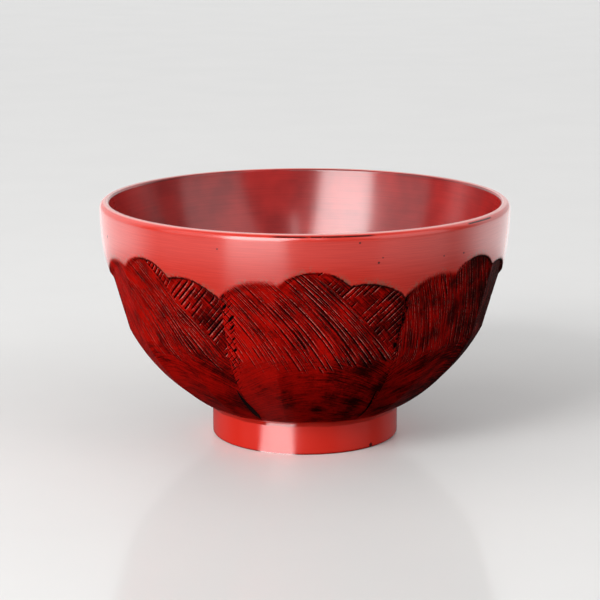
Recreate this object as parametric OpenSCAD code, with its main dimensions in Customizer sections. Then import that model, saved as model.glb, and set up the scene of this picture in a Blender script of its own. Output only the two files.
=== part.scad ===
// Carved soup bowl: a wooden bowl turned and carved from one block, with a black undercoat and a
// red top coat of lacquer over the whole of it.
// Millimetres, +Z up. The origin is the middle of the sole, and the middle of one carved panel faces -Y.

/* [Bowl] */
// Diameter over the rim
rim_d = 128; // [120:0.5:138]
// Height from the sole to the crest of the lip
bowl_h = 75; // [70:0.5:82]
// How far the belly's widest part stays inside the rim
belly_in = 1.6; // [1:0.1:2.5]
// Rounding of the lip towards the outside
lip_out_r = 2; // [1.2:0.1:2.6]
// Rounding of the lip towards the inside
lip_in_r = 1; // [0.7:0.05:1.4]
// Thickness of the bottom, from the foot's recess to the inside
bottom_t = 6; // [4:0.25:8]
// How far above the lip the round of the inside would be widest, so that the wall leans outwards
flare_h = 11; // [6:0.5:14]

/* [Foot] */
// Diameter of the foot
foot_d = 58.8; // [52:0.2:64]
// Height at which the belly springs from the foot
foot_h = 10.5; // [9:0.25:12]
// How far the belly stands outside the foot at that height
belly_out = 2.28; // [1.6:0.02:2.8]
// Radius of the cove under the belly
cove_r = 2; // [1:0.1:2.6]
// Thickness of the foot's ring
foot_ring_t = 5.2; // [4.2:0.1:6.5]
// Depth of the recess under the foot
recess_h = 7; // [5.5:0.25:8]
// Rounding between the recess's wall and its ceiling
recess_round_r = 2.5; // [1:0.1:3.5]
// Rounding of both edges of the sole
sole_round_r = 0.8; // [0.7:0.05:1.2]

/* [Carving] */
// Number of carved panels round the bowl
panels = 7; // [6:1:8]
// Height of the smooth band above a panel's middle lobe
band_h = 11; // [9:0.25:14]
// Radius of the middle lobe's arched top
main_arch_r = 15.2; // [13:0.2:18]
// How much lower the top of the left side lobe is
side_drop = 3.1; // [2.4:0.1:3.6]
// How much lower again the right side lobe is than the left one
right_drop = 0.8; // [0.4:0.1:1.2]
// Radius of a side lobe's arched top
side_arch_r = 18; // [16:0.5:20]
// How far a side lobe's arch stands from the middle of its facet
side_arch_shift = 4.6; // [4:0.1:5.4]
// How much further out a side facet lies than the middle one
side_out = 0.5; // [0.3:0.05:0.7]
// Depth of the step at the top of the carving
ledge_depth = 0.5; // [0.3:0.05:0.8]
// Depth of the carving from the ridge under the tall facets down to the foot
ridge_depth = 0.55; // [0.3:0.05:0.8]

/* [Lacquer] */
// Thickness of the black undercoat
undercoat_t = 0.3; // [0.2:0.02:0.36]
// Thickness of the red top coat
red_coat_t = 0.2; // [0.15:0.01:0.26]

/* [Hidden] */
$fn = 180;

wood_tan = [0.62, 0.44, 0.27];
undercoat_black = [0.07, 0.05, 0.05];
lacquer_red = [0.78, 0.16, 0.11];

// How deep the wood lies under both coats
coats_t = undercoat_t + red_coat_t;

// Lip: the two roundings meet on the crest
rim_r = rim_d / 2;
crest_r = rim_r - lip_out_r;
lip_z = bowl_h - lip_out_r;
lip_in_z = bowl_h - lip_in_r;

// Belly: an arc that springs from the foot and is upright where it is widest
foot_r = foot_d / 2;
spring_r = foot_r + belly_out;
widest_r = rim_r - belly_in;
belly_share = 0.86016;
belly_h = belly_share * (lip_z - foot_h);
belly_x = (widest_r ^ 2 - spring_r ^ 2 - belly_h ^ 2) / (2 * (widest_r - spring_r));
belly_c = [belly_x, foot_h + belly_h];
belly_r = widest_r - belly_x;

// Upper wall: an arc that leaves the belly smoothly and stands upright under the lip
wall_rise = lip_z - belly_c.y;
wall_x = belly_x - (wall_rise ^ 2 - belly_in ^ 2) / (2 * belly_in);
wall_c = [wall_x, lip_z];
wall_r = rim_r - wall_x;
parting = (belly_c - wall_c) / norm(belly_c - wall_c);
parting_z = belly_c.y + belly_r * parting.y;

// Inside: a long round hollow, as wide at the lip's inner edge as the lip leaves it, down to the floor
floor_z = recess_h + bottom_t;
cavity_r = crest_r - lip_in_r;
cavity_z = lip_in_z + flare_h;
cavity_h = cavity_z - floor_z;

// Foot: the cove ends, half-way round, where the belly springs
cove_turn = 45;
foot_wall_h = foot_h - cove_r * sin(cove_turn);
recess_r = foot_r - foot_ring_t;

// Cuts run past the bowl by its own radius
reach = 2 * rim_r;

// Carved facets: corners of the middle column in the radius and height plane
pitch = 360 / panels;
front_turn = -90;
side_turn_share = 0.354;
side_turn = pitch * side_turn_share;
main_top_z = bowl_h - band_h;
left_top_z = main_top_z - side_drop;
right_top_z = left_top_z - right_drop;
ridge_share = 0.477;
ridge_z = foot_h + ridge_share * (main_top_z - foot_h);
main_half_w = rim_r * sin(pitch / 4);
side_half_w = rim_r * sin(pitch / 5);

// Radius of the turned surface at a height
function turned_r(z) = z < parting_z
    ? belly_c.x + sqrt(belly_r ^ 2 - (z - belly_c.y) ^ 2)
    : wall_c.x + sqrt(wall_r ^ 2 - (z - wall_c.y) ^ 2);

// A corner of the carving, a depth below the turned surface
function carved_at(z, depth) = [turned_r(z) - depth, z];

top_corner = carved_at(main_top_z, ledge_depth);
ridge_corner = carved_at(ridge_z, ridge_depth);

// Outward normal of the tall facet that runs down from its top to the ridge
facet_n = [main_top_z - ridge_z, ridge_corner.x - top_corner.x] / norm(top_corner - ridge_corner);

// A point of the tall facet's line, a share of its length up from the ridge, moved into the wood by an inset
function facet_at(share, inset) = ridge_corner + share * (top_corner - ridge_corner) - inset * facet_n;

top_share = 1.4;
end_share = -1.6;
round_top_share = 0.5;

// Outline of the bowl's outside above the foot, as turned
module turned_outline(inset) {
    intersection() {
        union() {
            translate(belly_c) circle(belly_r - inset);
            intersection() {
                translate(wall_c) circle(wall_r - inset);
                polygon([belly_c, belly_c + reach * parting, [reach, lip_z], [0, lip_z]]);
            }
        }
        polygon([[0, foot_wall_h], [reach, foot_wall_h], [reach, lip_z], [0, lip_z]]);
    }
    translate([0, foot_wall_h]) square([recess_r, belly_c.y - foot_wall_h]);
    translate([0, belly_c.y]) square([crest_r, bowl_h - belly_c.y]);
    intersection() {
        translate([crest_r, lip_z]) circle(lip_out_r - inset);
        translate([crest_r, lip_z]) square(lip_out_r);
    }
}

// Outline of the foot with the cove at its top and its rounded sole edge
module foot_outline(inset) {
    cove_end = (cove_r + inset) * sin(cove_turn);
    difference() {
        translate([0, sole_round_r]) square([foot_r + cove_r - cove_end, foot_wall_h + cove_end - sole_round_r]);
        translate([foot_r + cove_r, foot_wall_h]) circle(cove_r + inset);
        translate([foot_r - inset, 0]) square([reach, foot_wall_h]);
    }
    square([foot_r - sole_round_r, foot_wall_h]);
    translate([foot_r - sole_round_r, sole_round_r]) circle(sole_round_r - inset);
}

// Outline of the space inside the bowl, up past the rim
module cavity_outline(inset) {
    round_h = cavity_h + inset;
    round_r = (cavity_r + inset) / sqrt(1 - (flare_h / round_h) ^ 2);
    intersection() {
        translate([0, cavity_z]) scale([round_r / round_h, 1]) circle(round_h);
        square([reach, lip_in_z]);
    }
    difference() {
        translate([0, lip_in_z]) square([crest_r, rim_r]);
        translate([crest_r, lip_in_z]) circle(lip_in_r - inset);
    }
}

// Outline of the recess under the foot, down past the sole
module recess_outline(inset) {
    round_r = recess_round_r + inset;
    round_c = recess_r - recess_round_r;
    translate([0, sole_round_r]) square([round_c, recess_h + inset - sole_round_r]);
    translate([0, sole_round_r]) square([recess_r + inset, recess_h - recess_round_r - sole_round_r]);
    translate([round_c, recess_h - recess_round_r]) circle(round_r);
    difference() {
        translate([0, -rim_r]) square([recess_r + sole_round_r, rim_r + sole_round_r]);
        translate([recess_r + sole_round_r, sole_round_r]) circle(sole_round_r - inset);
    }
}

// One column of the carving, outwards from its tall facet and from the round stretch below that
module facet_column(inset) {
    top = facet_at(top_share, inset);
    end = facet_at(end_share, inset);
    rotate([90, 0, 0]) linear_extrude(reach, center = true) difference() {
        square([reach, top.y]);
        intersection() {
            polygon([[0, end.y], end, top, [0, top.y]]);
            union() {
                translate(belly_c) circle(belly_r - ridge_depth - inset);
                translate([0, facet_at(round_top_share, 0).y]) square(reach);
            }
        }
    }
}

// The arched tongue, seen from outside, that bounds a column's cut
module arched_tongue(top_z, arch_r, shift, half_w) {
    rotate([90, 0, 90]) linear_extrude(reach) intersection() {
        union() {
            translate([shift, top_z - arch_r]) circle(arch_r);
            translate([-reach / 2, 0]) square([reach, top_z - arch_r]);
        }
        translate([-half_w, 0]) square([2 * half_w, reach]);
    }
}

module main_cut(inset) {
    intersection() {
        facet_column(inset);
        arched_tongue(main_top_z + inset, main_arch_r + inset, 0, main_half_w);
    }
}

module side_cut(inset, top_z) {
    intersection() {
        translate([side_out, 0, 0]) facet_column(inset);
        arched_tongue(top_z + inset, side_arch_r + inset, -side_arch_shift, side_half_w);
    }
}

// What the knife takes off all round
module carving(inset) {
    turns = [for (k = [0 : panels - 1]) front_turn + k * pitch];
    for (turn = turns) rotate(turn) main_cut(inset);
    for (turn = turns) rotate(turn + side_turn) side_cut(inset, right_top_z);
    for (turn = turns) rotate(turn - side_turn) mirror([0, 1, 0]) side_cut(inset, left_top_z);
}

// The bowl's outside, filled, at a depth below the finished surface
module filled_bowl(inset) {
    difference() {
        rotate_extrude() turned_outline(inset);
        carving(inset);
    }
    rotate_extrude() foot_outline(inset);
}

module outside_coat(from, to) {
    difference() {
        filled_bowl(from);
        filled_bowl(to);
    }
}

module inside_coat(from, to) {
    rotate_extrude() difference() {
        cavity_outline(to);
        cavity_outline(from);
    }
}

module recess_coat(from, to) {
    rotate_extrude() difference() {
        recess_outline(to);
        recess_outline(from);
    }
}

module wood_body() {
    color(wood_tan) difference() {
        filled_bowl(coats_t);
        rotate_extrude() cavity_outline(coats_t);
        rotate_extrude() recess_outline(coats_t);
    }
}

module undercoat_outside() {
    color(undercoat_black) outside_coat(red_coat_t, coats_t);
}

module undercoat_inside() {
    color(undercoat_black) inside_coat(red_coat_t, coats_t);
}

module undercoat_foot_recess() {
    color(undercoat_black) recess_coat(red_coat_t, coats_t);
}

module red_coat_outside() {
    color(lacquer_red) outside_coat(0, red_coat_t);
}

module red_coat_inside() {
    color(lacquer_red) inside_coat(0, red_coat_t);
}

module red_coat_foot_recess() {
    color(lacquer_red) recess_coat(0, red_coat_t);
}

wood_body();
undercoat_outside();
undercoat_inside();
undercoat_foot_recess();
red_coat_outside();
red_coat_inside();
red_coat_foot_recess();
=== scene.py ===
# A soup bowl turned and carved from one block of wood and finished in lacquer: black undercoats first,
# then red, rubbed back so that black stays in the knife cuts. Lengths are in millimetres until a mesh
# is made, +Z is up, and the middle of one carved panel faces -Y.
import math

import bpy
import numpy as np
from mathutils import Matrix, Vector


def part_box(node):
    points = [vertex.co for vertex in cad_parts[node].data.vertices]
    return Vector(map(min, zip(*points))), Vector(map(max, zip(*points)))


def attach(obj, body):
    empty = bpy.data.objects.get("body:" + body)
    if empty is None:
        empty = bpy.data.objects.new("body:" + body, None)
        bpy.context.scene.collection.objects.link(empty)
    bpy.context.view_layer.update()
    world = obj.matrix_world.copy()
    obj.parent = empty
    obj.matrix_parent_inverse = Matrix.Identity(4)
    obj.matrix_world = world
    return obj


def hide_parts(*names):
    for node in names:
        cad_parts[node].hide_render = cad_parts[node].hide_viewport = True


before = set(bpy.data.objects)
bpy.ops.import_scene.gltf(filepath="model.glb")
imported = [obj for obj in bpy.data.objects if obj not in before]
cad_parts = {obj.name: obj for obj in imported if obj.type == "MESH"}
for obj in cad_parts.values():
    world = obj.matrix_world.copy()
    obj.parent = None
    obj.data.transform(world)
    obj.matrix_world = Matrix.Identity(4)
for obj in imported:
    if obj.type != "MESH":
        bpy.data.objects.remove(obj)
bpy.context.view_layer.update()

# Camera
# It stands a little above the lip and a little to the left of the front panel's middle, and looks down
# on the near side of the bowl, with a long lens.
camera_away = 630.84
camera_height = 180.2
camera_turn = math.radians(-2.3)
camera_pitch = math.radians(12.33)
camera_near = 50
focal_px = 2041.9
image_px = 600
axis_px = 305
sensor_width = 36
metre = 0.001

camera_data = bpy.data.cameras.new("camera")
camera_data.sensor_width = sensor_width
camera_data.lens = sensor_width * focal_px / image_px
camera_data.shift_x = (image_px / 2 - axis_px) / image_px
camera_data.clip_start = camera_near * metre
camera = bpy.data.objects.new("camera", camera_data)
camera.location = (
    camera_away * math.sin(camera_turn) * metre,
    -camera_away * math.cos(camera_turn) * metre,
    camera_height * metre,
)
camera.rotation_euler = (math.pi / 2 - camera_pitch, 0, camera_turn)
bpy.context.scene.collection.objects.link(camera)
bpy.context.scene.camera = camera
bpy.context.scene.view_settings.view_transform = "Standard"

# Wooden body
# One block of pale hardwood, turned inside and out and then carved. Lacquer covers all of it but the
# flat ring of the sole, where bare end grain shows.


class Value:
    """A number, colour or vector that varies over a surface. Arithmetic on it adds Math nodes."""

    def __init__(self, finish, socket):
        self.finish = finish
        self.socket = socket

    def math(self, operation, *terms):
        return self.finish.node("ShaderNodeMath", {"operation": operation}, dict(enumerate(terms)))

    def __add__(self, other):
        return self.math("ADD", self, other)

    def __radd__(self, other):
        return self.math("ADD", other, self)

    def __sub__(self, other):
        return self.math("SUBTRACT", self, other)

    def __rsub__(self, other):
        return self.math("SUBTRACT", other, self)

    def __mul__(self, other):
        return self.math("MULTIPLY", self, other)

    def __rmul__(self, other):
        return self.math("MULTIPLY", other, self)

    def __truediv__(self, other):
        return self.math("DIVIDE", self, other)


class Finish:
    """A procedural material or world, made node by node and ended by its one shader."""

    def __init__(self, material, shader="Principled BSDF"):
        self.material = material
        self.material.use_nodes = True
        self.tree = self.material.node_tree
        self.shader = self.tree.nodes[shader]

    def node(self, kind, settings, sockets, output=0):
        made = self.tree.nodes.new(kind)
        for name, setting in settings.items():
            setattr(made, name, setting)
        for key, value in sockets.items():
            self.feed(made.inputs[key], value)
        return Value(self, made.outputs[output])

    def feed(self, socket, value):
        if isinstance(value, Value):
            self.tree.links.new(value.socket, socket)
        else:
            socket.default_value = value

    def shade(self, **sockets):
        for name, value in sockets.items():
            self.feed(self.shader.inputs[name.replace("_", " ").title().replace("Ior", "IOR")], value)

    def place(self):
        """Where a point lies on the object: x, y and z in millimetres."""
        spot = self.node("ShaderNodeTexCoord", {}, {}, "Object")
        return [self.node("ShaderNodeSeparateXYZ", {}, {0: spot}, k) / metre for k in range(3)]

    def vector(self, x, y, z):
        return self.node("ShaderNodeCombineXYZ", {}, {0: x, 1: y, 2: z})

    def noise(self, x, y, z, detail=3, roughness=0.55):
        """Soft noise from 0 to 1 over a place, one lump to a unit."""
        return self.node(
            "ShaderNodeTexNoise",
            {},
            {"Vector": self.vector(x, y, z), "Scale": 1.0, "Detail": detail, "Roughness": roughness},
        )

    def blend(self, share, first, second):
        """A colour that goes from the first to the second as the share goes from 0 to 1."""
        return self.node("ShaderNodeMix", {"data_type": "RGBA"}, {0: share, 6: first, 7: second}, 2)

    def bump(self, height, depth):
        """A normal for heights from 0 to 1, where 1 stands for the depth in millimetres."""
        sockets = {"Height": height, "Distance": depth * metre, "Strength": 1.0}
        return self.node("ShaderNodeBump", {}, sockets)


def either(operation, plain):
    """A function for plain arrays that is a Math node for values of a finish."""

    def apply(*terms):
        varying = [term for term in terms if isinstance(term, Value)]
        return varying[0].math(operation, *terms) if varying else plain(*terms)

    return apply


sine = either("SINE", np.sin)
cosine = either("COSINE", np.cos)
whole = either("FLOOR", np.floor)
fraction = either("FRACT", lambda x: x - np.floor(x))
positive = either("ABSOLUTE", np.abs)
root = either("SQRT", np.sqrt)
larger = either("MAXIMUM", np.maximum)
bearing = either("ARCTAN2", np.arctan2)


def smooth(x, low, high):
    """0 up to low and 1 from high on, with a soft step between, or the other way round."""
    if isinstance(x, Value):
        sockets = {"Value": x, "From Min": low, "From Max": high}
        return x.finish.node("ShaderNodeMapRange", {"interpolation_type": "SMOOTHSTEP"}, sockets)
    share = np.clip((x - low) / (high - low), 0, 1)
    return share * share * (3 - 2 * share)


def paint(red, green, blue):
    """A colour as it is seen, from 0 to 255, as the shader takes it: with the sRGB curve undone."""
    seen = [part / 255 for part in (red, green, blue)]
    return [part / 12.92 if part <= 0.04045 else ((part + 0.055) / 1.055) ** 2.4 for part in seen] + [1]


def finish_solid(node, finish):
    """Give one of the bowl's solids its finish."""
    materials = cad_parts[node].data.materials
    materials.clear()
    materials.append(finish.material)


wood_pale = paint(196, 152, 104)
wood_dark = paint(138, 92, 54)
pith_away = 90
ring_gap = 2.4
ring_wander = 3
ring_share = 0.6
wander_width = 22
wander_length = 40
fibre_width = 0.25
fibre_length = 9
fibre_depth = 0.06

wood = Finish(bpy.data.materials.new("bare_wood"))
x, y, z = wood.place()
wander = wood.noise(x / wander_width, y / wander_width, z / wander_length)
from_pith = root(x * x + (y + pith_away) * (y + pith_away))
rings = fraction(from_pith / ring_gap + ring_wander * wander)
fibres = wood.noise(x / fibre_width, y / fibre_width, z / fibre_length)
grain = smooth(rings, 0.25, 0.95) * ring_share + fibres * (1 - ring_share)
wood.shade(
    base_color=wood.blend(grain, wood_pale, wood_dark),
    roughness=0.55 + 0.2 * fibres,
    normal=wood.bump(fibres, fibre_depth),
)
finish_solid("wood_body", wood)

# Black undercoat
# Lacquer blackened with iron, brushed over the outside, the inside and the foot's recess in turn, and
# rubbed flat. It lies under the red and shows wherever that is worn or cut through.
undercoat_black = paint(26, 18, 17)
undercoat_brown = paint(48, 28, 24)
streak_turn = 0.5
streak_width = 0.35
streak_depth = 0.02


def round_place(x, y):
    """How far a spot is turned about the axis, to the right from -Y, and its distance from the axis."""
    return bearing(x, -1 * y), root(x * x + y * y)


undercoat = Finish(bpy.data.materials.new("black_undercoat"))
x, y, z = undercoat.place()
turn, radius = round_place(x, y)
streaks = undercoat.noise(turn / streak_turn, z / streak_width, radius / streak_width)
undercoat.shade(
    base_color=undercoat.blend(streaks, undercoat_black, undercoat_brown),
    roughness=0.32 + 0.16 * streaks,
    normal=undercoat.bump(streaks, streak_depth),
)
for node in ("undercoat_outside", "undercoat_inside", "undercoat_foot_recess"):
    finish_solid(node, undercoat)

# Red coat inside
# The top coat of the round inside, from the middle of the floor up to the crest of the lip. It is laid
# with a wide brush round the bowl, and the brush leaves faint level lines.
red_coat_t = 0.2
_, bowl_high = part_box("red_coat_outside")
rim_r = bowl_high.x / metre
bowl_h = bowl_high.z / metre
lip_out_r = 2.0
lip_in_r = 1.0
crest_r = rim_r - lip_out_r
lip_in_z = bowl_h - lip_in_r
floor_z = 13.0
flare_h = 11.0
hollow_steps = 110
lip_in_steps = 8
inside_columns = 360

inside_red = paint(176, 30, 26)
inside_deep = paint(132, 16, 16)
worn_black = paint(20, 10, 9)
# The colour of the lip's crest: a painted highlight, standing in for the bright room reflected along it
crest_highlight_pale = paint(238, 176, 170)
coat_full = 0.95
coat_gloss = 0.19
coat_ior = 2.0
inside_lumps = 3
inside_brush_width = 0.5
inside_brush_depth = 0.006
brush_length = 30
inside_cloud = 18

# Heights on the inner round of the lip where it is worn to black and, above that, made pale by a painted
# highlight, and how much of the red that covers
inside_worn_up = 0.35
inside_worn_half = 0.35
inside_worn_core = 0.1
inside_worn_weight = 0.45
inside_highlight_up = 0.75
inside_highlight_full = 0.95
inside_highlight_weight = 0.7


def arc(middle, radius, start, end, steps):
    """Points of a round stretch of outline, turned in degrees from the outward direction to up."""
    turns = np.radians(np.linspace(start, end, steps + 1))
    return [(middle[0] + radius * math.cos(t), middle[1] + radius * math.sin(t)) for t in turns]


def mesh_piece(name, points, faces, finish, slot_name, *nodes):
    """A piece of the skin, in metres, that stands for CAD nodes and moves with the bowl."""
    mesh = bpy.data.meshes.new(name)
    mesh.from_pydata((points * metre).tolist(), [], faces)
    mesh.update()
    mesh.materials.append(finish.material)
    mesh.polygons.foreach_set("use_smooth", [True] * len(mesh.polygons))
    piece = bpy.data.objects.new(name, mesh)
    bpy.context.scene.collection.objects.link(piece)
    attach(piece, "root")
    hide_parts(*nodes)


def wrapped_faces(rows, columns, closed):
    """Quads of a grid that closes on itself across its columns, and across its rows too if asked."""
    row = np.arange(rows if closed else rows - 1)[:, None] * columns
    below = (row + columns) % (rows * columns)
    column = np.arange(columns)[None, :]
    beside = (column + 1) % columns
    quads = [row + column, below + column, below + beside, row + beside]
    return np.stack(np.broadcast_arrays(*quads), axis=-1).reshape(-1, 4).tolist()


def turned_skin(name, outline, columns, finish, *nodes):
    """A skin turned about the axis from an outline whose first and last points lie on the axis."""
    turns = np.arange(columns) * 2 * math.pi / columns
    ring = np.array(outline[1:-1])
    points = np.stack(
        [
            ring[:, :1] * np.sin(turns),
            -ring[:, :1] * np.cos(turns),
            np.repeat(ring[:, 1:], columns, axis=1),
        ],
        axis=-1,
    ).reshape(-1, 3)
    faces = wrapped_faces(len(ring), columns, False)
    first, last = len(points), len(points) + 1
    points = np.vstack([points, (0, 0, outline[0][1]), (0, 0, outline[-1][1])])
    last_row = (len(ring) - 1) * columns
    for column in range(columns):
        beside = (column + 1) % columns
        faces.append([first, column, beside])
        faces.append([last, last_row + beside, last_row + column])
    mesh_piece(name, points, faces, finish, "red_lacquer", *nodes)


inside_finish = Finish(bpy.data.materials.new("red_lacquer_inside"))
x, y, z = inside_finish.place()
turn, radius = round_place(x, y)
brushed = inside_finish.noise(turn * inside_lumps, (radius + z) / inside_brush_width, z / brush_length)
cloud = inside_finish.noise(x / inside_cloud, y / inside_cloud, z / inside_cloud)
from_worn = positive(z - lip_in_z - inside_worn_up)
worn = smooth(from_worn, inside_worn_half, inside_worn_core) * smooth(cloud, 0.3, 0.55)
# Painted highlight: the inner round of the lip turns pale towards the crest
crest_highlight = smooth(z, lip_in_z + inside_highlight_up, lip_in_z + inside_highlight_full)
tone = smooth(cloud * 0.7 + brushed * 0.3, 0.3, 0.7)
red = inside_finish.blend(tone, inside_red, inside_deep)
red = inside_finish.blend(crest_highlight * inside_highlight_weight, red, crest_highlight_pale)
inside_finish.shade(
    base_color=inside_finish.blend(worn * inside_worn_weight, red, worn_black),
    roughness=0.42 + 0.08 * brushed,
    normal=inside_finish.bump(brushed, inside_brush_depth),
    specular_ior_level=0.01,
    coat_weight=coat_full - 0.1 * brushed,
    coat_roughness=coat_gloss,
    coat_ior=coat_ior,
)


def inside_outline(depth):
    """From the middle of the floor up to the crest of the lip, at a depth in the coat."""
    flare_z = lip_in_z + flare_h
    tall = flare_z - floor_z + depth
    wide = (crest_r - lip_in_r + depth) / math.sqrt(1 - (flare_h / tall) ** 2)
    lip_end = -math.degrees(math.asin(flare_h / tall))
    hollow = arc((0, 0), 1, -90, lip_end, hollow_steps)
    lip = arc((crest_r, lip_in_z), lip_in_r - depth, 180, 90, lip_in_steps)
    return [(wide * r, flare_z + tall * z) for r, z in hollow] + lip[1:]


inside_skin = inside_outline(0) + inside_outline(red_coat_t)[::-1]
turned_skin("inside_skin", inside_skin, inside_columns, inside_finish, "red_coat_inside")

# Red coat outside
# The top coat from the crest of the lip to the sole: smooth over the turned band, and below it laid on
# seven carved panels of three facets each, scored by the knife. Black and dirt stay in the cuts.

# The outline as turned: how far in from the rim the belly ends and out from the foot it springs, its
# share of the height from foot to lip, the foot, the cove over it and the round edge of the sole
belly_in = 1.6
belly_out = 2.28
belly_share = 0.86016
foot_r = 29.4
foot_h = 10.5
cove_r = 2.0
sole_round_r = 0.8

# The carving: the panels, the band over them, the arches of their top edge, the facets at the sides, the
# heights where rows of facets meet, and how deep the knife went
panels = 7
band_h = 11
main_arch_r = 15.2
side_drop = 3.1
right_drop = 0.8
side_arch_r = 18
side_arch_shift = 4.6
side_out = 0.5
side_turn_share = 0.354
ridge_share = 0.477
low_row_share = 0.262
ledge_depth = 0.5
ridge_depth = 0.55
soft_phase = math.radians(209)

lip_z = bowl_h - lip_out_r
cove_h = cove_r * math.sin(math.pi / 4)
foot_wall_h = foot_h - cove_h
spring_r = foot_r + belly_out
widest_r = rim_r - belly_in
belly_h = belly_share * (lip_z - foot_h)
belly_x = (widest_r**2 - spring_r**2 - belly_h**2) / (2 * (widest_r - spring_r))
belly_z = foot_h + belly_h
belly_r = widest_r - belly_x
wall_x = belly_x - ((lip_z - belly_z) ** 2 - belly_in**2) / (2 * belly_in)
wall_r = rim_r - wall_x
parting_z = belly_z - belly_r * (lip_z - belly_z) / (wall_r - belly_r)
pitch = 2 * math.pi / panels
side_turn = pitch * side_turn_share
panel_top_z = bowl_h - band_h
ridge_z = foot_h + ridge_share * (panel_top_z - foot_h)
low_row_z = foot_h + low_row_share * (panel_top_z - foot_h)
main_arch_z = panel_top_z - main_arch_r
left_arch_z = panel_top_z - side_drop - side_arch_r
right_arch_z = left_arch_z - right_drop


def turned_radius(height):
    """Radius of the surface as turned, before any carving."""
    belly = belly_x + np.sqrt(np.maximum(belly_r**2 - (height - belly_z) ** 2, 0))
    wall = wall_x + np.sqrt(wall_r**2 - (height - lip_z) ** 2)
    return np.where(height < parting_z, belly, wall)


def arch_height(arch_z, arch_r, sideways):
    """Height of an arched top at a distance sideways from its middle."""
    return arch_z + root(larger(arch_r**2 - sideways * sideways, 0))


def edge_height(angle, radius):
    """Height of the scalloped top of a panel at an angle from the panel's middle."""
    main = arch_height(main_arch_z, main_arch_r, radius * sine(angle))
    right = arch_height(right_arch_z, side_arch_r, radius * sine(angle - side_turn) + side_arch_shift)
    left = arch_height(left_arch_z, side_arch_r, radius * sine(angle + side_turn) - side_arch_shift)
    return larger(main, larger(right, left))


facet_top_r = turned_radius(np.array(panel_top_z)) - ledge_depth
facet_end_r = turned_radius(np.array(ridge_z)) - ridge_depth


def carved_radius(angle, height):
    """Radius of the carved surface: three columns to a panel, each a tall facet over a round stretch."""
    tall = facet_end_r + (height - ridge_z) * (facet_top_r - facet_end_r) / (panel_top_z - ridge_z)
    low = np.minimum(height, (panel_top_z + ridge_z) / 2)
    round_part = np.sqrt(np.maximum((belly_r - ridge_depth) ** 2 - (low - belly_z) ** 2, 0))
    flat = np.where(height > low, tall, np.minimum(tall, belly_x + round_part))
    sides = np.minimum(
        (flat + side_out) / np.cos(angle - side_turn),
        (flat + side_out) / np.cos(angle + side_turn),
    )
    return np.minimum(flat / np.cos(angle), sides)


def soft_entry(turn):
    """How gently the knife enters the band, from 0 to 1: most gently at the left lobe of a panel."""
    return smooth(sine(turn * panels + soft_phase), -0.3, 0.8)


def foot_radius(height):
    """Radius of the foot and of the cove at its top."""
    rise = np.clip(height - foot_wall_h, 0, cove_h)
    return foot_r + cove_r - np.sqrt(cove_r**2 - rise**2)


# Every stroke of the knife: where it lies and how wide its cut is, in shares of its lane, the cut's core
# and the sharp edge beside it, where a highlight is painted, in shares of that width, and where it thins
# out, in shares of its reach
lane_place = 0.34
lane_play = 0.2
cut_half = 0.1
cut_half_play = 0.13
cut_core = 0.4
edge_beside = 1.6
edge_half = 0.7
edge_core = 0.2
start_taper = 0.2
end_taper = 0.7
tip_share = 0.5
row_shift = 5


def chance(row, cell, seed):
    """A fixed number from 0 to 1 for each stroke of the knife, scrambled from its row, cell and seed."""
    return fraction(sine(row * 1.2989 + cell * 2.7233 + seed * 3.7719) * 437.585)


def strokes(across, along, gap, reach, seed, share):
    """Parallel knife strokes of uneven length and weight: the cuts, where black stays, and the sharp
    edges beside them, where a painted highlight goes."""
    lane = across / gap
    row = whole(lane)
    place = along / reach + row_shift * chance(row, 0, seed)
    cell = whole(place)
    part = fraction(place)
    taper = smooth(part, 0, start_taper) * smooth(part, 1, end_taper)
    away = fraction(lane) - (lane_place + lane_play * chance(row, cell, seed + 1))
    half = cut_half + cut_half_play * chance(row, cell, seed + 2)
    half = half * (tip_share + (1 - tip_share) * taper)
    weight = taper * smooth(chance(row, cell, seed + 3), 1 - share, 1.3 - 0.8 * share)
    cut = weight * smooth(positive(away), half, cut_core * half)
    edge = weight * smooth(positive(away - edge_beside * half), edge_half * half, edge_core * half)
    return cut, edge


# Chips, in shares of the gap that each has to itself: where one lies, which way it slants, its size and
# how many times longer than wide it is
chip_low = 0.35
chip_play = 0.3
chip_right = 0.65
chip_up = 0.76
chip_size = 0.1
chip_size_play = 0.18
chip_long = 2
chip_long_play = 1.6


def pits(beside, height, gap, spread, seed):
    """A row of slanting chips up a border between panels, one to a gap, strewn to both sides."""
    row = whole(height / gap)
    up = height - (row + chip_low + chip_play * chance(row, 1, seed)) * gap
    right = beside - spread * (chance(row, 2, seed) - 0.5)
    along = (right * chip_right + up * chip_up) / (chip_long + chip_long_play * chance(row, 3, seed))
    across = right * chip_up - up * chip_right
    size = gap * (chip_size + chip_size_play * chance(row, 4, seed))
    return smooth(root(along * along + across * across), size, 0)


def pick(number, first, amounts):
    """The amount that belongs to a whole number, from a list that starts at the first number."""
    total = 0
    for place, amount in enumerate(amounts):
        total = total + amount * larger(1 - positive(number - (first + place)), 0)
    return total


# For each panel, from the back left round to the back right: lean of the long cuts, in degrees from
# level at the upper ridge, and how strong they are
first_panel = -3
cut_leans = (66, 72, 60, 60, 82, 58, 68)
cut_weights = (0.9, 0.8, 0.7, 1, 0.85, 0.9, 1)

# Long cuts, fine ones between them, and those of the side lobe, with their gaps and reaches. The long
# ones bend, are weakest at the lower left, and end raggedly about the ridge
cut_bend = 0.0074
cut_gap = 1.35
cut_reach = 26
cut_least = 0.35
weak_place = -8
strong_place = 10
weak_lean = 0.4
end_over = 1
end_ragged = 5
end_fade = 1.5
low_row_cuts = 0.12
fine_gap = 0.6345
fine_reach = 10.4
fine_share = 0.8
fine_weight = 0.65
fine_edge_weight = 0.4
side_from = 20.8
side_gap = 1.4
side_reach = 13
side_lean = math.radians(45)
side_blend = 0.2
upper_stretch = 1.036
panel_seed = 1.7

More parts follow.
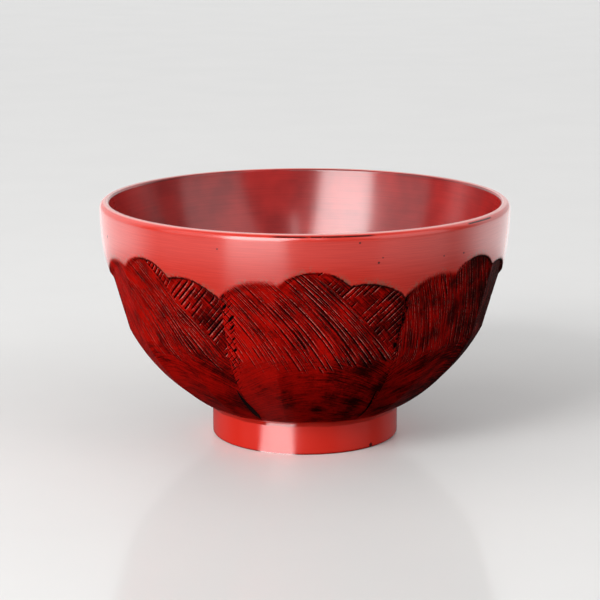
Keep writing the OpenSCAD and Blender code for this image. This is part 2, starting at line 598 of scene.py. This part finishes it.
# For each border between panels, from the back round to the back: how far its chips lie beside it at the
# top, how much is chipped, how dark the line is there, and how wide the seam below is
first_border = -4
chip_beside = (0.5, -0.8, 0.9, 1.7, 0.3, 0.8, -0.6, 0.5)
chip_shares = (0.6, 0.8, 0.7, 1, 0.35, 0.9, 0.5, 0.6)
line_shares = (0.5, 0.3, 0.6, 0.1, 1, 0.4, 0.7, 0.5)
seam_widths = (0.3, 0.5, 0.25, 1.2, 0.4, 0.45, 0.3, 0.3)

# Gaps, spreads, weights and ends of the chips, of the short hatch cuts and of the ragged line along a
# border, and the slant, least width and ends of the seam near the foot
chip_gap = 3.4
chip_spread = 2
chip_rise = 12
chip_end = 1
chip_full = 3
hatch_gap = 0.95
hatch_reach = 3.5
hatch_half = 2.2
hatch_core = 1
hatch_weight = 0.8
line_half = 2.8
line_weight = 0.55
line_sway = 0.6
sway_rate = 0.34
line_tremble = 0.25
tremble_rate = 1.3
row_blend = 1
seam_slant = 1.3
seam_least = 0.1
seam_over = 0.8
seam_fade = 7
seam_start = 1
seam_full = 4
border_seed = 3.1


def panel_place(turn, height, radius):
    """The panel of a spot, its angle from the panel's middle, and how far right and up it lies there."""
    panel = whole(turn / pitch + 0.5)
    angle = turn - panel * pitch
    return panel, angle, radius * sine(angle), (height - ridge_z) * upper_stretch


def long_way(panel, sideways, upward):
    """How far along and across the panel's long cuts a spot lies."""
    lean = pick(panel, first_panel, [math.radians(amount) for amount in cut_leans])
    along = sideways * cosine(lean) - upward * sine(lean)
    return along, sideways * sine(lean) + upward * cosine(lean) + cut_bend * upward * upward


def rising_way(sideways, upward):
    """How far along and across the cuts that rise to the right a spot lies."""
    along = sideways * math.cos(side_lean) + upward * math.sin(side_lean)
    return along, sideways * math.sin(side_lean) - upward * math.cos(side_lean)


def panel_cuts(panel, sideways, upward):
    """Long cuts, strongest at the upper right, fine ones between, and cuts that rise to the right on the
    side lobe past the last long one."""
    seed = panel * panel_seed
    along, across = long_way(panel, sideways, upward)
    cut, edge = strokes(across, along, cut_gap, cut_reach, seed, 1)
    strong = smooth(sideways + weak_lean * upward, weak_place, strong_place)
    strength = pick(panel, first_panel, cut_weights) * (cut_least + (1 - cut_least) * strong)
    fine, fine_edge = strokes(across, along, fine_gap, fine_reach, seed + 5, fine_share)
    side_along, side_across = rising_way(sideways, upward)
    side, side_edge = strokes(side_across, side_along, side_gap, side_reach, seed + 9, 1)
    beyond = smooth(across - side_from, -side_blend, side_blend)
    cuts = larger(cut * strength, fine * fine_weight) * (1 - beyond) + side * beyond
    edges = larger(edge * strength, fine_edge * fine_edge_weight) * (1 - beyond) + side_edge * beyond
    return cuts, edges


def border_cuts(turn, height, radius):
    """Chips, short hatch cuts and a ragged line up each border between panels, and a seam cut along it
    near the foot."""
    border = whole(turn / pitch)
    seed = border * border_seed
    beside = radius * sine(turn - (border + 0.5) * pitch)
    shift = pick(border, first_border, chip_beside)
    stray = beside - smooth(height, low_row_z, low_row_z + chip_rise) * shift
    chipped = pits(stray, height, chip_gap, chip_spread, seed)
    chipped = chipped * pick(border, first_border, chip_shares)
    wander = line_sway * sine(height * sway_rate + 2 * border)
    wander = wander + line_tremble * sine(height * tremble_rate)
    line = smooth(positive(stray + wander), line_half, 0) * pick(border, first_border, line_shares)
    hatch_along, hatch_across = rising_way(beside, height)
    hatch, _ = strokes(hatch_across, hatch_along, hatch_gap, hatch_reach, seed + 7, 1)
    hatch = hatch * smooth(positive(stray), hatch_half, hatch_core)
    above_ridge = smooth(height, ridge_z - chip_end, ridge_z + chip_full)
    chips = larger(above_ridge * larger(chipped, line * line_weight), hatch * hatch_weight)
    chips = chips * smooth(height, low_row_z - row_blend, low_row_z + row_blend)
    seam = beside + seam_slant * smooth(height, foot_h + seam_full, low_row_z)
    below = smooth(height, low_row_z + seam_over, low_row_z - seam_fade)
    opened = smooth(height, foot_h + seam_start, foot_h + seam_full) * below
    width = seam_least + pick(border, first_border, seam_widths) * opened
    return larger(chips, smooth(below, 0, 0.1) * smooth(positive(seam), width, width * 0.5))


def knife_cuts(turn, height, radius):
    """How far each spot lies in a panel's cuts, in those of a border, and on a cut's edge, from 0 to 1."""
    panel, _, sideways, upward = panel_place(turn, height, radius)
    cuts, edges = panel_cuts(panel, sideways, upward)
    _, across = long_way(panel, sideways, upward)
    end_z = ridge_z + end_over - end_ragged * chance(whole(across / cut_gap), 3, panel)
    top_row = smooth(height, end_z - end_fade, end_z + end_over)
    cuts = cuts * (low_row_cuts + (1 - low_row_cuts) * top_row)
    return cuts, border_cuts(turn, height, radius), edges * top_row


# The skin's rows from the lip down to the sole. Its upper ones follow the scalloped edge, where the knife
# falls in over a longer or shorter way
panel_columns = 160
lip_steps = 9
band_steps = 16
ledge_steps = 8
top_row_steps = 96
low_row_steps = 46
cove_steps = 16
foot_steps = 8
sole_steps = 6
outside_columns = panel_columns * panels
turns = (np.arange(outside_columns) + 0.5) * 2 * math.pi / outside_columns - math.pi
angles = turns - np.floor(turns / pitch + 0.5) * pitch
edge_in = 1
edge_z = edge_height(angles, rim_r - edge_in)
edge_soft = 0.12
edge_fall = 0.7
edge_fall_soft = 1.9
edge_waver = 0.2
wavers = 23
cut_depth = 0.14
cove_over = 0.1


def level_rows(top, bottom, steps):
    """Rows of the skin from one height to another, each of which can follow the scalloped edge."""
    shares = np.arange(steps)[:, None] / steps
    return np.broadcast_to(top + (bottom - top) * shares, (steps, outside_columns))


def facets(heights):
    """Radius of the carved skin with its knife cuts."""
    plain = carved_radius(angles, heights)
    cuts, chips, _ = knife_cuts(np.broadcast_to(turns, heights.shape), heights, plain)
    return plain - cut_depth * np.maximum(cuts, chips)


def plain_rows(outline):
    """Rows at one radius and height all the way round."""
    radii = np.array([r for r, _ in outline])[:, None] * np.ones(outside_columns)
    heights = np.array([z for _, z in outline])[:, None] * np.ones(outside_columns)
    return radii, heights


lip_middle = (crest_r, lip_z)
sole_middle = (foot_r - sole_round_r, sole_round_r)
ledge_top = edge_z + edge_soft
edge_falls = edge_fall + edge_fall_soft * soft_entry(turns) + edge_waver * np.sin(turns * wavers)
skin = [plain_rows(arc(lip_middle, lip_out_r, 90, 0, lip_steps)[:-1])]
band = level_rows(lip_z, ledge_top, band_steps)
skin.append((turned_radius(band), band))
ledge = level_rows(ledge_top, edge_z - edge_falls, ledge_steps)
fallen = smooth(ledge_top - ledge, 0, edge_soft + edge_falls)
skin.append((turned_radius(ledge) + (facets(ledge) - turned_radius(ledge)) * fallen, ledge))
for top, bottom, steps in (
    (edge_z - edge_falls, ridge_z, top_row_steps),
    (ridge_z, low_row_z, low_row_steps),
    (low_row_z, foot_h + cove_over, low_row_steps),
    (foot_h + cove_over, foot_wall_h, cove_steps),
):
    heights = level_rows(top, bottom, steps)
    skin.append((np.maximum(facets(heights), foot_radius(heights)), heights))
foot_heights = np.linspace(foot_wall_h, sole_round_r, foot_steps + 1)
skin.append(plain_rows([(foot_r, height) for height in foot_heights[:-1]]))
skin.append(plain_rows(arc(sole_middle, sole_round_r, 0, -90, sole_steps)))

# The back of the film, laid against the undercoat, from the sole up to the lip
back_clear = 1
back_sole_steps = 3
back_foot_steps = 4
back_low_steps = 10
back_top_steps = 8
back_band_steps = 4
back_lip_steps = 4
skin.append(plain_rows(arc(sole_middle, sole_round_r - red_coat_t, -90, 0, back_sole_steps)))
for bottom, top, steps in (
    (sole_round_r + back_clear, foot_h, back_foot_steps),
    (foot_h, ridge_z, back_low_steps),
    (ridge_z, edge_z - back_clear, back_top_steps),
):
    heights = level_rows(bottom, top, steps)
    behind = np.maximum(carved_radius(angles, heights), foot_radius(heights))
    skin.append((behind - 2 * red_coat_t, heights))
band = level_rows(edge_z + back_clear, lip_z - back_clear, back_band_steps)
skin.append((turned_radius(band) - red_coat_t, band))
skin.append(plain_rows(arc(lip_middle, lip_out_r - red_coat_t, 0, 90, back_lip_steps)))

radii = np.vstack([rows[0] for rows in skin])
heights = np.vstack([rows[1] for rows in skin])
outside_points = np.stack([radii * np.sin(turns), -radii * np.cos(turns), heights], axis=-1)

band_red = paint(204, 38, 24)
band_bright = paint(216, 48, 32)
foot_red = paint(222, 38, 21)
carved_red = paint(184, 15, 8)
carved_deep = paint(92, 5, 4)
cut_black = paint(11, 4, 4)
# Pale pink of the painted highlight on the sharp edges beside the knife cuts
cut_highlight_pink = paint(214, 120, 108)
smudge_grey = paint(112, 92, 74)

# Black left in hollows of the front panel's lower rows: how far right and how high it lies, and its size
front_smudges = ((14.5, 32, 4.6), (13, 20.5, 4.2), (2, 17.5, 3.8), (-6.5, 19, 3.8), (20, 25, 3))
# Where the lip's outer edge is rubbed through to black, in degrees from the front to each end
lip_stretches = ((-12, 17), (46, 59), (96, 121), (158, 180), (-176, -149), (-118, -96))
# Pinholes in the lacquer and a chip on the sole's edge: degrees from the front, height and size
pinholes = (
    (11.8, 72.4, 0.4),
    (17, 66.3, 0.45),
    (18.1, 67.7, 0.3),
    (37, 66.2, 0.35),
    (-72, 67, 0.4),
    (104, 66.5, 0.4),
    (151, 70, 0.35),
    (-139, 66, 0.4),
    (41.6, 0.9, 0.9),
)
# For each panel, how dark it is made by black the rubbing left on it together with painted shade, and how
# that grows to the right as painted shade on the side turned from the key light
panel_soot_and_shade = (0.2, 0.12, 0.05, 0.12, 0.45, 0.2, 0.12)
soot_and_shade_growth = 0.014

# Sizes of the finish: clouds and crumbs of dirt, scratches along the long cuts, grain on the lower rows,
# brush lines on the band, the wander and blur of the panels' upper edge, and the marks on lip and band,
# among them the painted highlight on the lip's crest and the painted shadow line under the edge
cloud_size = 7
crumb_size = 0.8
scratch_length = 8
scratch_width = 0.45
grain_length = 6
grain_width = 0.5
grain_bend = 0.02
panel_shift = 3.3
band_lumps = 5
band_brush_width = 0.28
band_brush_share = 0.03
edge_crumble = 1.3
edge_wander = 1.4
edge_sharp = 0.1
edge_softer = 0.9
ridge_blend = 0.8
foot_blend = 4
cove_clear = 0.2
cove_carved = 0.8
smudge_high = 2.8
smudge_wander = 3
smudge_squash = 2
edge_line_low = 0.1
edge_line_half = 0.6
edge_line_core = 0.15
right_blend = 0.1
worn_up = 1.3
worn_half = 0.3
worn_core = 0.1
crest_highlight_up = 1.6
crest_highlight_full = 1.92
far_side = 4

# How strongly each mark shows, and how much of the gloss is lost on the carving and in the black
front_smudge_weight = 0.55
stain_and_shade_weight = 0.75
edge_line_weight = 0.85
worn_weight = 0.9
smudge_weight = 0.75
crest_highlight_weight = 0.55
glint_weight = 0.95
coat_lost = 0.945
coat_grazing = 0.1
coat_inked = 0.5

outside_finish = Finish(bpy.data.materials.new("red_lacquer_outside"))
x, y, z = outside_finish.place()
turn, radius = round_place(x, y)
panel, angle, sideways, upward = panel_place(turn, z, radius)
along, across = long_way(panel, sideways, upward)
cloud = outside_finish.noise(x / cloud_size, y / cloud_size, z / cloud_size)
crumbs = outside_finish.noise(x / crumb_size, y / crumb_size, z / crumb_size)
above_edge = z - edge_height(angle, radius) + edge_crumble * (crumbs - 0.5) + edge_wander * (cloud - 0.5)
edge_blur = edge_sharp + edge_softer * soft_entry(turn)
carved = smooth(above_edge, edge_blur, -1 * edge_blur)
carved = carved * smooth(z, foot_h + cove_clear, foot_h + cove_carved)
on_top_row = smooth(z, ridge_z - ridge_blend, ridge_z + ridge_blend)
cuts, chips, cut_edges = knife_cuts(turn, z, radius)
scratches = outside_finish.noise(along / scratch_length, across / scratch_width, panel * panel_shift)
bent = upward + grain_bend * sideways * sideways
grain = outside_finish.noise(sideways / grain_length, bent / grain_width, panel * panel_shift)
brushed = outside_finish.noise(turn * band_lumps, z / band_brush_width, radius / brush_length)
streaks = grain + (scratches - grain) * on_top_row

# Black in the cuts, along the scalloped edge and in smudges round about, mixed with painted shade: some
# panels darker, every panel darker to the right, and a painted shadow line under the edge's ledge
# Black the rubbing left, mixed with painted shade that darkens some panels and each panel's right side
soot_and_shade = pick(panel, first_panel, panel_soot_and_shade) + soot_and_shade_growth * sideways
on_front = larger(1 - positive(panel), 0)
for right, height, size in front_smudges:
    away = root((sideways - right) * (sideways - right) + (z - height) * (z - height) * smudge_squash)
    near = smooth(away + smudge_wander * (cloud - 0.5), size, 0)
    soot_and_shade = soot_and_shade + front_smudge_weight * near * on_front
ink_and_shade = smooth(cuts * (0.6 + 0.8 * crumbs), 0.08, 0.42)
ink_and_shade = larger(ink_and_shade, smooth(chips * (0.2 + 1.6 * crumbs), 0.3, 0.6))
# Stains, which also carry some of the panels' painted shade
stain_and_shade = smooth(cloud * 0.45 + streaks * 0.4 + crumbs * 0.15 + 0.25 * soot_and_shade, 0.52, 0.72)
ink_and_shade = carved * larger(ink_and_shade, stain_and_shade * stain_and_shade_weight)
right_half = smooth(angle, -right_blend, right_blend)
# Partly black left along the scalloped edge, partly a painted shadow under its ledge, heavier on the right
# halves
ledge_ink_and_shadow = smooth(positive(above_edge + edge_line_low), edge_line_half, edge_line_core)
ledge_ink_and_shadow = ledge_ink_and_shadow * smooth(cloud + 0.3 * right_half, 0.55, 0.7)
ledge_ink_and_shadow = ledge_ink_and_shadow * edge_line_weight * smooth(z, foot_h, foot_h + foot_blend)
worn_lip = 0
for start, end in lip_stretches:
    from_middle = positive(turn - math.radians((start + end) / 2)) / math.radians((end - start) / 2)
    worn_lip = larger(smooth(from_middle, 1, 0.8), worn_lip)
worn_lip = worn_lip * smooth(positive(z - lip_z - worn_up), worn_half, worn_core)
worn_lip = worn_lip * smooth(cloud + 0.4 * crumbs, 0.5, 0.66)
pinhole = 0
for at, height, size in pinholes:
    from_hole = turn - math.radians(at)
    right = radius * sine(from_hole) + far_side * larger(0 - cosine(from_hole), 0)
    away = root(right * right + (z - height) * (z - height))
    pinhole = larger(smooth(away, size, size * 0.5), pinhole)
ink_and_shade = larger(ink_and_shade, larger(ledge_ink_and_shadow, larger(worn_lip, pinhole) * worn_weight))
# Painted highlight: the outer round of the lip turns pale towards the crest
crest_highlight = smooth(z, lip_z + crest_highlight_up, lip_z + crest_highlight_full)
smudge = smooth(above_edge, smudge_high, 0) * smooth(crumbs * 0.55 + cloud * 0.45, 0.47, 0.62)

band = outside_finish.blend(smooth(brushed, 0.3, 0.7), band_red, band_bright)
band = outside_finish.blend(smudge * (1 - carved) * smudge_weight, band, smudge_grey)
band = outside_finish.blend(crest_highlight * crest_highlight_weight, band, crest_highlight_pale)
uncut = outside_finish.blend(smooth(z, foot_h + foot_blend, foot_h), band, foot_red)
# Tone that differs at random, darkened a little by the panels' painted shade too
tone = smooth(cloud * 0.35 + streaks * 0.45 + crumbs * 0.2 + 0.2 * soot_and_shade, 0.38, 0.66)
cut_red = outside_finish.blend(tone, carved_red, carved_deep)
# Painted highlight: pale pink glints along the cuts' edges, where light would catch them
glints = cut_edges * smooth(crumbs, 0.38, 0.6) * glint_weight
cut_red = outside_finish.blend(glints, cut_red, cut_highlight_pink)
red = outside_finish.blend(carved, uncut, cut_red)
grazing = smooth(outside_finish.node("ShaderNodeLayerWeight", {}, {"Blend": 0.5}, "Facing"), 0.6, 0.95)
relief = brushed * (1 - carved) * band_brush_share - carved * larger(cuts, chips)
outside_finish.shade(
    base_color=outside_finish.blend(ink_and_shade, red, cut_black),
    roughness=0.4 + 0.15 * carved,
    normal=outside_finish.bump(relief, cut_depth),
    specular_ior_level=0.003,
    coat_weight=(coat_full - (coat_lost - coat_grazing * grazing) * carved) * (1 - coat_inked * ink_and_shade),
    coat_roughness=coat_gloss,
    coat_ior=coat_ior,
)
mesh_piece(
    "outside_skin",
    outside_points.reshape(-1, 3),
    wrapped_faces(len(radii), outside_columns, True),
    outside_finish,
    "red_lacquer",
    "red_coat_outside",
)

# Red coat in the foot's recess
# The hollow under the foot is coated last, with the bowl upside down, and the coat ends on the round
# inner edge of the sole.
recess_r = 24.2
recess_h = 7.0
recess_round_r = 2.5
recess_columns = 180
ceiling_steps = 11
corner_steps = 10
sole_in_steps = 8


def recess_outline(depth):
    """From the middle of the ceiling out to the sole, at a depth in the coat."""
    corner = (recess_r - recess_round_r, recess_h - recess_round_r)
    sole = (recess_r + sole_round_r, sole_round_r)
    ceiling = [(r, recess_h + depth) for r in np.linspace(0, corner[0], ceiling_steps + 1)[:-1]]
    return (
        ceiling
        + arc(corner, recess_round_r + depth, 90, 0, corner_steps)
        + arc(sole, sole_round_r - depth, 180, 270, sole_in_steps)
    )


recess_skin = recess_outline(0) + recess_outline(red_coat_t)[::-1]
turned_skin("recess_skin", recess_skin, recess_columns, inside_finish, "red_coat_foot_recess")

# Floor and studio light
# A plain pale floor, a key light and a broad sky at the left, and a white surround. Seen in the bowl's
# gloss, the floor is dark close by and glows pale further off, a painted reflection, with a window at the
# left and one at the right.
floor_white = paint(232, 231, 229)
floor_grey = paint(226, 225, 224)
floor_back = paint(58, 56, 55)
black = paint(0, 0, 0)
white = paint(255, 255, 255)
floor_size = 6
mottle_size = 60
surround_strength = 0.45
room_strength = 0.12
glow_strength = 1.7

# How the floor shows in the gloss, where it glows as a painted reflection: where the glow starts with
# distance, how strong it is in front, where front ends and back begins, the glowing pane close by at the
# left that paints a highlight on the foot, and the floor's own gloss
glow_from = 170
glow_to = 310
front_share = 0.27
front_end = math.radians(78)
back_start = math.radians(108)
pane_share = 2.0
pane_place = math.radians(36.5)
pane_half = math.radians(23)
pane_core = math.radians(15)
pane_end = 95
pane_fade = 20
dull_to = 80
glossy_from = 220
floor_coat = 0.25
floor_coat_far = 0.55
floor_gloss = 0.12
floor_ior = 1.7
surround_front = 0.1
surround_back = 0.5

floor_finish = Finish(bpy.data.materials.new("pale_floor"))
x, y, z = floor_finish.place()
mottle = floor_finish.noise(x / mottle_size, y / mottle_size, 0)
seen = floor_finish.node("ShaderNodeLightPath", {}, {}, "Is Camera Ray")
mirrored = floor_finish.node("ShaderNodeLightPath", {}, {}, "Is Glossy Ray")
behind = smooth(bearing(positive(x), -1 * y), front_end, back_start)
away = root(x * x + y * y)
# Painted reflection: the floor glows in the gloss alone, further off and in a pane close by at the left
gloss_glow = smooth(away, glow_from, glow_to) * (front_share + (1 - front_share) * behind)
pane_turn = bearing(x, -1 * y - foot_r / 2) + pane_place
glow_pane = smooth(positive(pane_turn), pane_half, pane_core)
gloss_glow = gloss_glow + pane_share * glow_pane * smooth(away, pane_end, pane_end - pane_fade)
floor_finish.shade(
    base_color=floor_finish.blend(seen, floor_back, floor_finish.blend(mottle, floor_white, floor_grey)),
    roughness=0.5 + 0.1 * mottle,
    emission_color=floor_finish.blend(mirrored * gloss_glow / 2, black, white),
    emission_strength=2 * glow_strength,
    coat_weight=floor_coat + floor_coat_far * smooth(away, dull_to, glossy_from),
    coat_roughness=floor_gloss,
    coat_ior=floor_ior,
)
half = floor_size / 2
floor_corners = [(-half, -half, 0), (half, -half, 0), (half, half, 0), (-half, half, 0)]
floor_mesh = bpy.data.meshes.new("floor")
floor_mesh.from_pydata(floor_corners, [], [(0, 1, 2, 3)])
floor_mesh.materials.append(floor_finish.material)
floor = bpy.data.objects.new("floor", floor_mesh)
bpy.context.scene.collection.objects.link(floor)


def soft_light(name, azimuth, away, height, width, tall, watts):
    """A soft light that stands at an azimuth, counted to the right from -Y, and faces the bowl."""
    light_data = bpy.data.lights.new(name, "AREA")
    light_data.shape = "RECTANGLE"
    light_data.size = width
    light_data.size_y = tall
    light_data.energy = watts
    light = bpy.data.objects.new(name, light_data)
    turned = math.radians(azimuth)
    light.location = (away * math.sin(turned), -away * math.cos(turned), height)
    light.rotation_euler = (math.pi / 2 - math.atan2(height - bowl_h / 2 * metre, away), 0, turned)
    bpy.context.scene.collection.objects.link(light)
    return light


# Lights that the gloss doesn't show, then windows that show in the gloss alone: azimuth in degrees,
# distance, height, width and length in metres, and power in watts
for light in (
    ("key_left", -42, 1.3, 0.7, 0.6, 0.6, 18),
    ("sky_left", -80, 1.6, 1.0, 1.2, 1.2, 6),
    ("fill_right", 60, 1.6, 0.9, 1.2, 1.2, 6.8),
):
    soft_light(*light).visible_glossy = False
for window in (
    ("gloss_window", -29, 1.2, 0.6, 0.8, 1.2, 16),
    ("gloss_slit", 5, 1.2, 0.95, 0.09, 0.5, 0.35),
    ("gloss_left", -68, 1.5, 0.85, 1.2, 1.6, 3.3),
    ("gloss_right", 60, 1.5, 0.85, 1.4, 1.6, 4),
):
    soft_light(*window).visible_diffuse = False

surround = Finish(bpy.data.worlds.new("white_surround"), "Background")
seen = surround.node("ShaderNodeLightPath", {}, {}, "Is Camera Ray")
mirrored = surround.node("ShaderNodeLightPath", {}, {}, "Is Glossy Ray")
way = surround.node("ShaderNodeTexCoord", {}, {}, "Generated")
depth = surround.node("ShaderNodeSeparateXYZ", {}, {0: way}, 1)
behind = smooth(depth, surround_front, surround_back)
in_gloss = room_strength + (1 - room_strength) * behind - surround_strength
strength = surround_strength + (1 - surround_strength) * seen + mirrored * in_gloss
surround.shade(color=white, strength=strength)
bpy.context.scene.world = surround.material
